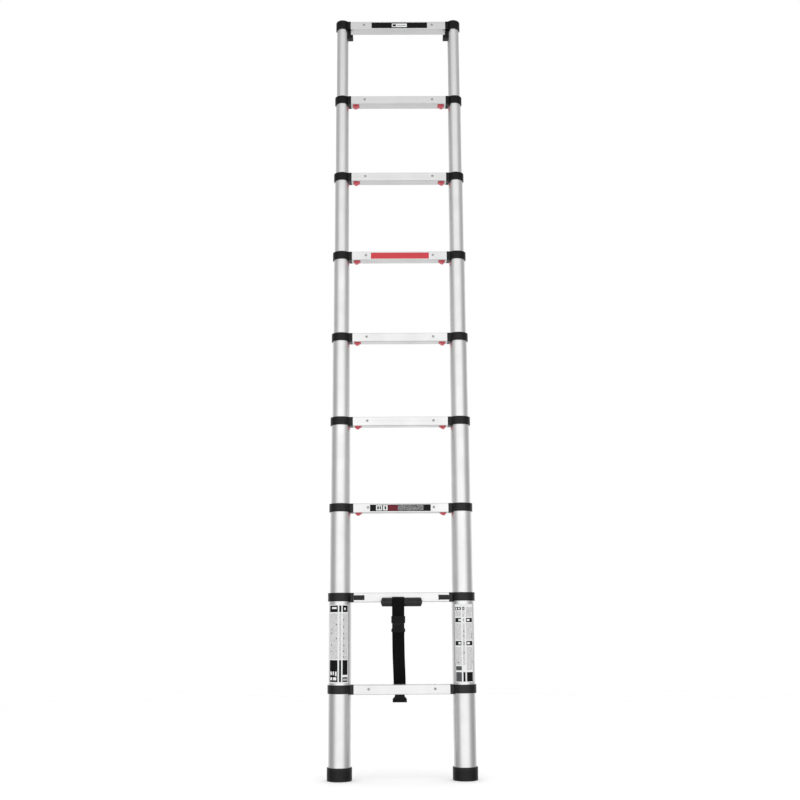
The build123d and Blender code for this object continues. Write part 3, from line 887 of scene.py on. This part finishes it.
# Each sticker's width, the degrees its middle is turned by, its three columns and what is
# printed in them: from and to above its lower edge, and the ink. Then small white marks,
# and the lower left corners of small dark ones. All but the degrees are in millimetres.
STICKER_TALL, STICKER_UP, SPECK = 245.0, 6.5, 3.4
BLOCK_LOW, BLOCK_HIGH = (3.5, 71.5, "ink_black"), (222.0, 243.0, "ink_black")
TEXT = (74.0, 218.0, "print")
# The gaps between each sticker's three columns are painted highlights: bare film where two strip
# lights reflect.
STICKERS = {
    "left": {
        "wide": 69.0,
        "turn": -8.7,
        "columns": [(2.0, 34.0), (38.7, 45.4), (49.8, 67.5)],
        "prints": [
            [BLOCK_LOW, TEXT, BLOCK_HIGH],
            [BLOCK_LOW, TEXT, BLOCK_HIGH],
            [(3.5, 18.5, "ink_black"), (25.5, 71.5, "ink_black"), TEXT, BLOCK_HIGH],
        ],
        "marks": [
            (12.5, 232.0, 30.0, 238.0),
            (55.0, 229.0, 60.0, 236.0),
            (6.0, 25.0, 13.0, 36.0),
            (17.0, 25.0, 22.0, 36.0),
            (26.0, 22.0, 31.0, 36.0),
            (6.0, 9.0, 15.0, 18.0),
            (19.0, 9.0, 30.0, 18.0),
            (53.0, 8.0, 57.0, 14.0),
            (60.0, 8.0, 64.0, 14.0),
        ],
        "specks": [
            *((9.5, v) for v in (98.0, 117.0, 154.0, 166.0)),
            *((28.0, v) for v in (137.0, 181.0)),
            *((51.5, v) for v in (80.0, 98.0, 116.0, 138.0, 152.0, 173.0, 196.0)),
        ],
    },
    "right": {
        "wide": 63.0,
        "turn": 2.4,
        "columns": [(1.5, 21.8), (26.5, 33.3), (37.9, 61.0)],
        "prints": [
            [
                (2.5, 32.0, "ink_grey"),
                (37.5, 50.5, "ink_grey"),
                (54.0, 110.5, "print"),
                (115.0, 129.0, "ink_black"),
                (133.0, 185.0, "print"),
                (188.0, 201.5, "ink_black"),
                (205.0, 223.0, "print"),
                (226.0, 236.0, "ink_black"),
            ],
            [
                (2.5, 32.0, "ink_black"),
                (54.0, 185.0, "print"),
                (205.0, 223.0, "print"),
                (226.0, 236.0, "ink_black"),
            ],
            [
                (2.5, 32.0, "ink_black"),
                (37.5, 110.5, "print"),
                (115.0, 129.0, "ink_black"),
                (133.0, 185.0, "print"),
                (188.0, 201.5, "ink_black"),
                (205.0, 236.0, "print"),
            ],
        ],
        "marks": [
            (12.0, 118.5, 19.5, 125.5),
            (13.0, 191.5, 21.8, 198.0),
            (40.5, 118.5, 50.0, 125.5),
            (40.5, 191.5, 50.0, 198.0),
            (4.0, 228.0, 9.0, 234.0),
            (13.0, 228.0, 18.0, 234.0),
            (28.5, 229.0, 31.0, 233.0),
        ],
        "specks": [
            *((28.5, v) for v in (117.0, 122.5, 190.0, 195.5, 158.0, 143.0, 90.0)),
            *((57.0, v) for v in (62.0, 140.0, 150.0)),
            (9.0, 60.0),
        ],
    },
}


def make_stickers():
    """One on each base tube, between its two collars: fine print, dark blocks and icons, parted
    by two bare lines. The bare lines are painted highlights: reflections of two strip lights on
    the film, left unprinted."""
    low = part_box(f"rung_{LOWEST_RUNG}")[1].z + STICKER_UP * MM
    for side, facts in STICKERS.items():
        prints = []
        for (u0, u1), rows in zip(facts["columns"], facts["prints"]):
            prints += [(u0, v0, u1, v1, ink_name) for v0, v1, ink_name in rows]
        prints += [(*mark, "film") for mark in facts["marks"]]
        prints += [(u, v, u + SPECK, v + SPECK, "ink_black") for u, v in facts["specks"]]
        size = (facts["wide"] * MM, STICKER_TALL * MM)
        place = on_tube(side, size, facts["turn"], low)
        name, inks = f"sticker_{side}", ["ink_black", "ink_grey", "print"]
        printed(name, "base", place, size, in_metres(prints), inks, STICKER_STEP)


# ---- Studio ----
WHITE = (1.0, 1.0, 1.0, 1.0)
BRIGHTEST = 4.0                   # a ramp holds brightness as a share of this


def ramp(tree, value, stops):
    """The brightness at value, between stops of (value, brightness)."""
    made = tree.nodes.new("ShaderNodeValToRGB")
    made.color_ramp.interpolation = "EASE"
    while len(made.color_ramp.elements) < len(stops):
        made.color_ramp.elements.new(0.5)
    for element, (at, bright) in zip(made.color_ramp.elements, stops):
        element.position = at
        element.color = (*grey(bright / BRIGHTEST), 1.0)
    tree.links.new(value, made.inputs[0])
    return maths(tree, "MULTIPLY", made.outputs[0], BRIGHTEST)


def maths(tree, operation, a, b=0.0):
    made = tree.nodes.new("ShaderNodeMath")
    made.operation = operation
    for n, value in enumerate((a, b)):
        if isinstance(value, bpy.types.NodeSocket):
            tree.links.new(value, made.inputs[n])
        else:
            made.inputs[n].default_value = value
    return made.outputs[0]


def backdrop(tree, strength):
    """A white background of some strength."""
    made = tree.nodes.new("ShaderNodeBackground")
    made.inputs["Color"].default_value = WHITE
    if isinstance(strength, bpy.types.NodeSocket):
        tree.links.new(strength, made.inputs["Strength"])
    else:
        made.inputs["Strength"].default_value = strength
    return made.outputs[0]


def mixed(tree, share, one, two):
    made = tree.nodes.new("ShaderNodeMixShader")
    for socket, output in zip(made.inputs, (share, one, two)):
        tree.links.new(output, socket)
    return made.outputs[0]


# What glossy surfaces reflect: brightness by degrees above the horizon, for the studio's
# front and back and for its two darker sides, and how much of the first shows at each angle
# round from the front. SOFT_UP is the even light that falls on everything else.
FRONT_UP = [
    (-90, 0.6),
    (-25, 0.74),
    (-7, 1.1),
    (12, 1.2),
    (20, 1.05),
    (31, 0.55),
    (48, 0.6),
    (90, 0.95),
]
SIDES_UP = [(-90, 0.4), (-7, 0.34), (12, 0.42), (31, 0.42), (52, 0.5), (90, 0.95)]
SOFT_UP = [(-90, 0.7), (0, 0.7), (30, 0.72), (60, 0.95), (90, 1.5)]
FRONT_SHARE = [(0, 1.0), (34, 0.92), (58, 0.22), (80, 0.0), (108, 0.0), (134, 0.5), (180, 0.82)]


def light_studio():
    """White for the camera, soft boxes and dark flags for glossy surfaces, and an even
    light for everything else."""
    world = bpy.data.worlds.new("studio")
    world.use_nodes = True
    bpy.context.scene.world = world
    tree = world.node_tree
    tree.nodes.clear()
    where = tree.nodes.new("ShaderNodeTexCoord")
    axes = tree.nodes.new("ShaderNodeSeparateXYZ")
    tree.links.new(where.outputs["Generated"], axes.inputs[0])
    x, y, z = axes.outputs
    turn = maths(tree, "ABSOLUTE", maths(tree, "ARCTAN2", x, maths(tree, "MULTIPLY", y, -1.0)))
    share_round = maths(tree, "DIVIDE", turn, math.pi)
    share_up = maths(tree, "ADD", maths(tree, "DIVIDE", maths(tree, "ARCSINE", z), math.pi), 0.5)
    front, sides, soft = (
        ramp(tree, share_up, [(a / 180 + 0.5, b) for a, b in stops])
        for stops in (FRONT_UP, SIDES_UP, SOFT_UP)
    )
    share = ramp(tree, share_round, [(a / 180, b) for a, b in FRONT_SHARE])
    more = maths(tree, "MULTIPLY", maths(tree, "SUBTRACT", front, sides), share)
    reflected = backdrop(tree, maths(tree, "ADD", sides, more))
    path = tree.nodes.new("ShaderNodeLightPath")
    seen = mixed(tree, path.outputs["Is Glossy Ray"], backdrop(tree, soft), reflected)
    everything = mixed(tree, path.outputs["Is Camera Ray"], seen, backdrop(tree, 1.0))
    out = tree.nodes.new("ShaderNodeOutputWorld")
    tree.links.new(everything, out.inputs[0])


CEILING_WIDE, CEILING_WATTS, CEILING_AT = 3.2, 50.0, (0.0, -0.6, 5.0)


def make_ceiling():
    ceiling = bpy.data.lights.new("ceiling_softbox", "AREA")
    ceiling.shape = "DISK"
    ceiling.size, ceiling.energy = CEILING_WIDE, CEILING_WATTS
    lamp = bpy.data.objects.new("ceiling_softbox", ceiling)
    lamp.location = CEILING_AT
    lamp.visible_camera = False
    lamp.visible_glossy = False
    bpy.context.collection.objects.link(lamp)


FLOOR_R, FLOOR_RINGS, FLOOR_TURNS = 6.0, 24, 96
FLOOR_FADE = (1.6, 5.5)           # it fades out between these distances from the ladder
FLOOR_LIFT = 0.13


def make_floor():
    made = Finish("pale_floor", grey(0.93), Roughness=0.9, Specular_IOR_Level=0.1)
    made.set("Emission Color", WHITE)
    made.set("Emission Strength", FLOOR_LIFT)
    made.colour(made.noise(0.8), grey(0.92), grey(0.95))
    where = made.node("TexCoord").outputs["Object"]
    away = made.node("VectorMath", {0: where}, operation="LENGTH").outputs["Value"]
    made.link(made.spread(away, 1.0, 0.0, *FLOOR_FADE), made.shader.inputs["Alpha"])
    points, faces = [Vector()], []
    for ring in range(1, FLOOR_RINGS + 1):
        radius = FLOOR_R * (ring / FLOOR_RINGS) ** 2
        points += [round_at(radius, math.tau * n / FLOOR_TURNS) for n in range(FLOOR_TURNS)]
    for n in range(FLOOR_TURNS):
        m = (n + 1) % FLOOR_TURNS
        faces.append([0, 1 + n, 1 + m])
        for ring in range(FLOOR_RINGS - 1):
            a = 1 + ring * FLOOR_TURNS
            b = a + FLOOR_TURNS
            faces.append([a + n, b + n, b + m, a + m])
    mesh = bpy.data.meshes.new("floor")
    mesh.from_pydata(points, [], faces)
    mesh.materials.append(made.material)
    floor = bpy.data.objects.new("floor", mesh)
    floor.visible_glossy = False
    bpy.context.collection.objects.link(floor)


# ---- Everything ----
bpy.context.scene.view_settings.view_transform = "Standard"
make_camera()
finishes = make_finishes()
make_strap()
dress_cad_nodes()
make_handle()
make_feet()
make_rivets()
make_springs()
make_rung_labels()
make_stickers()
light_studio()
make_ceiling()
make_floor()
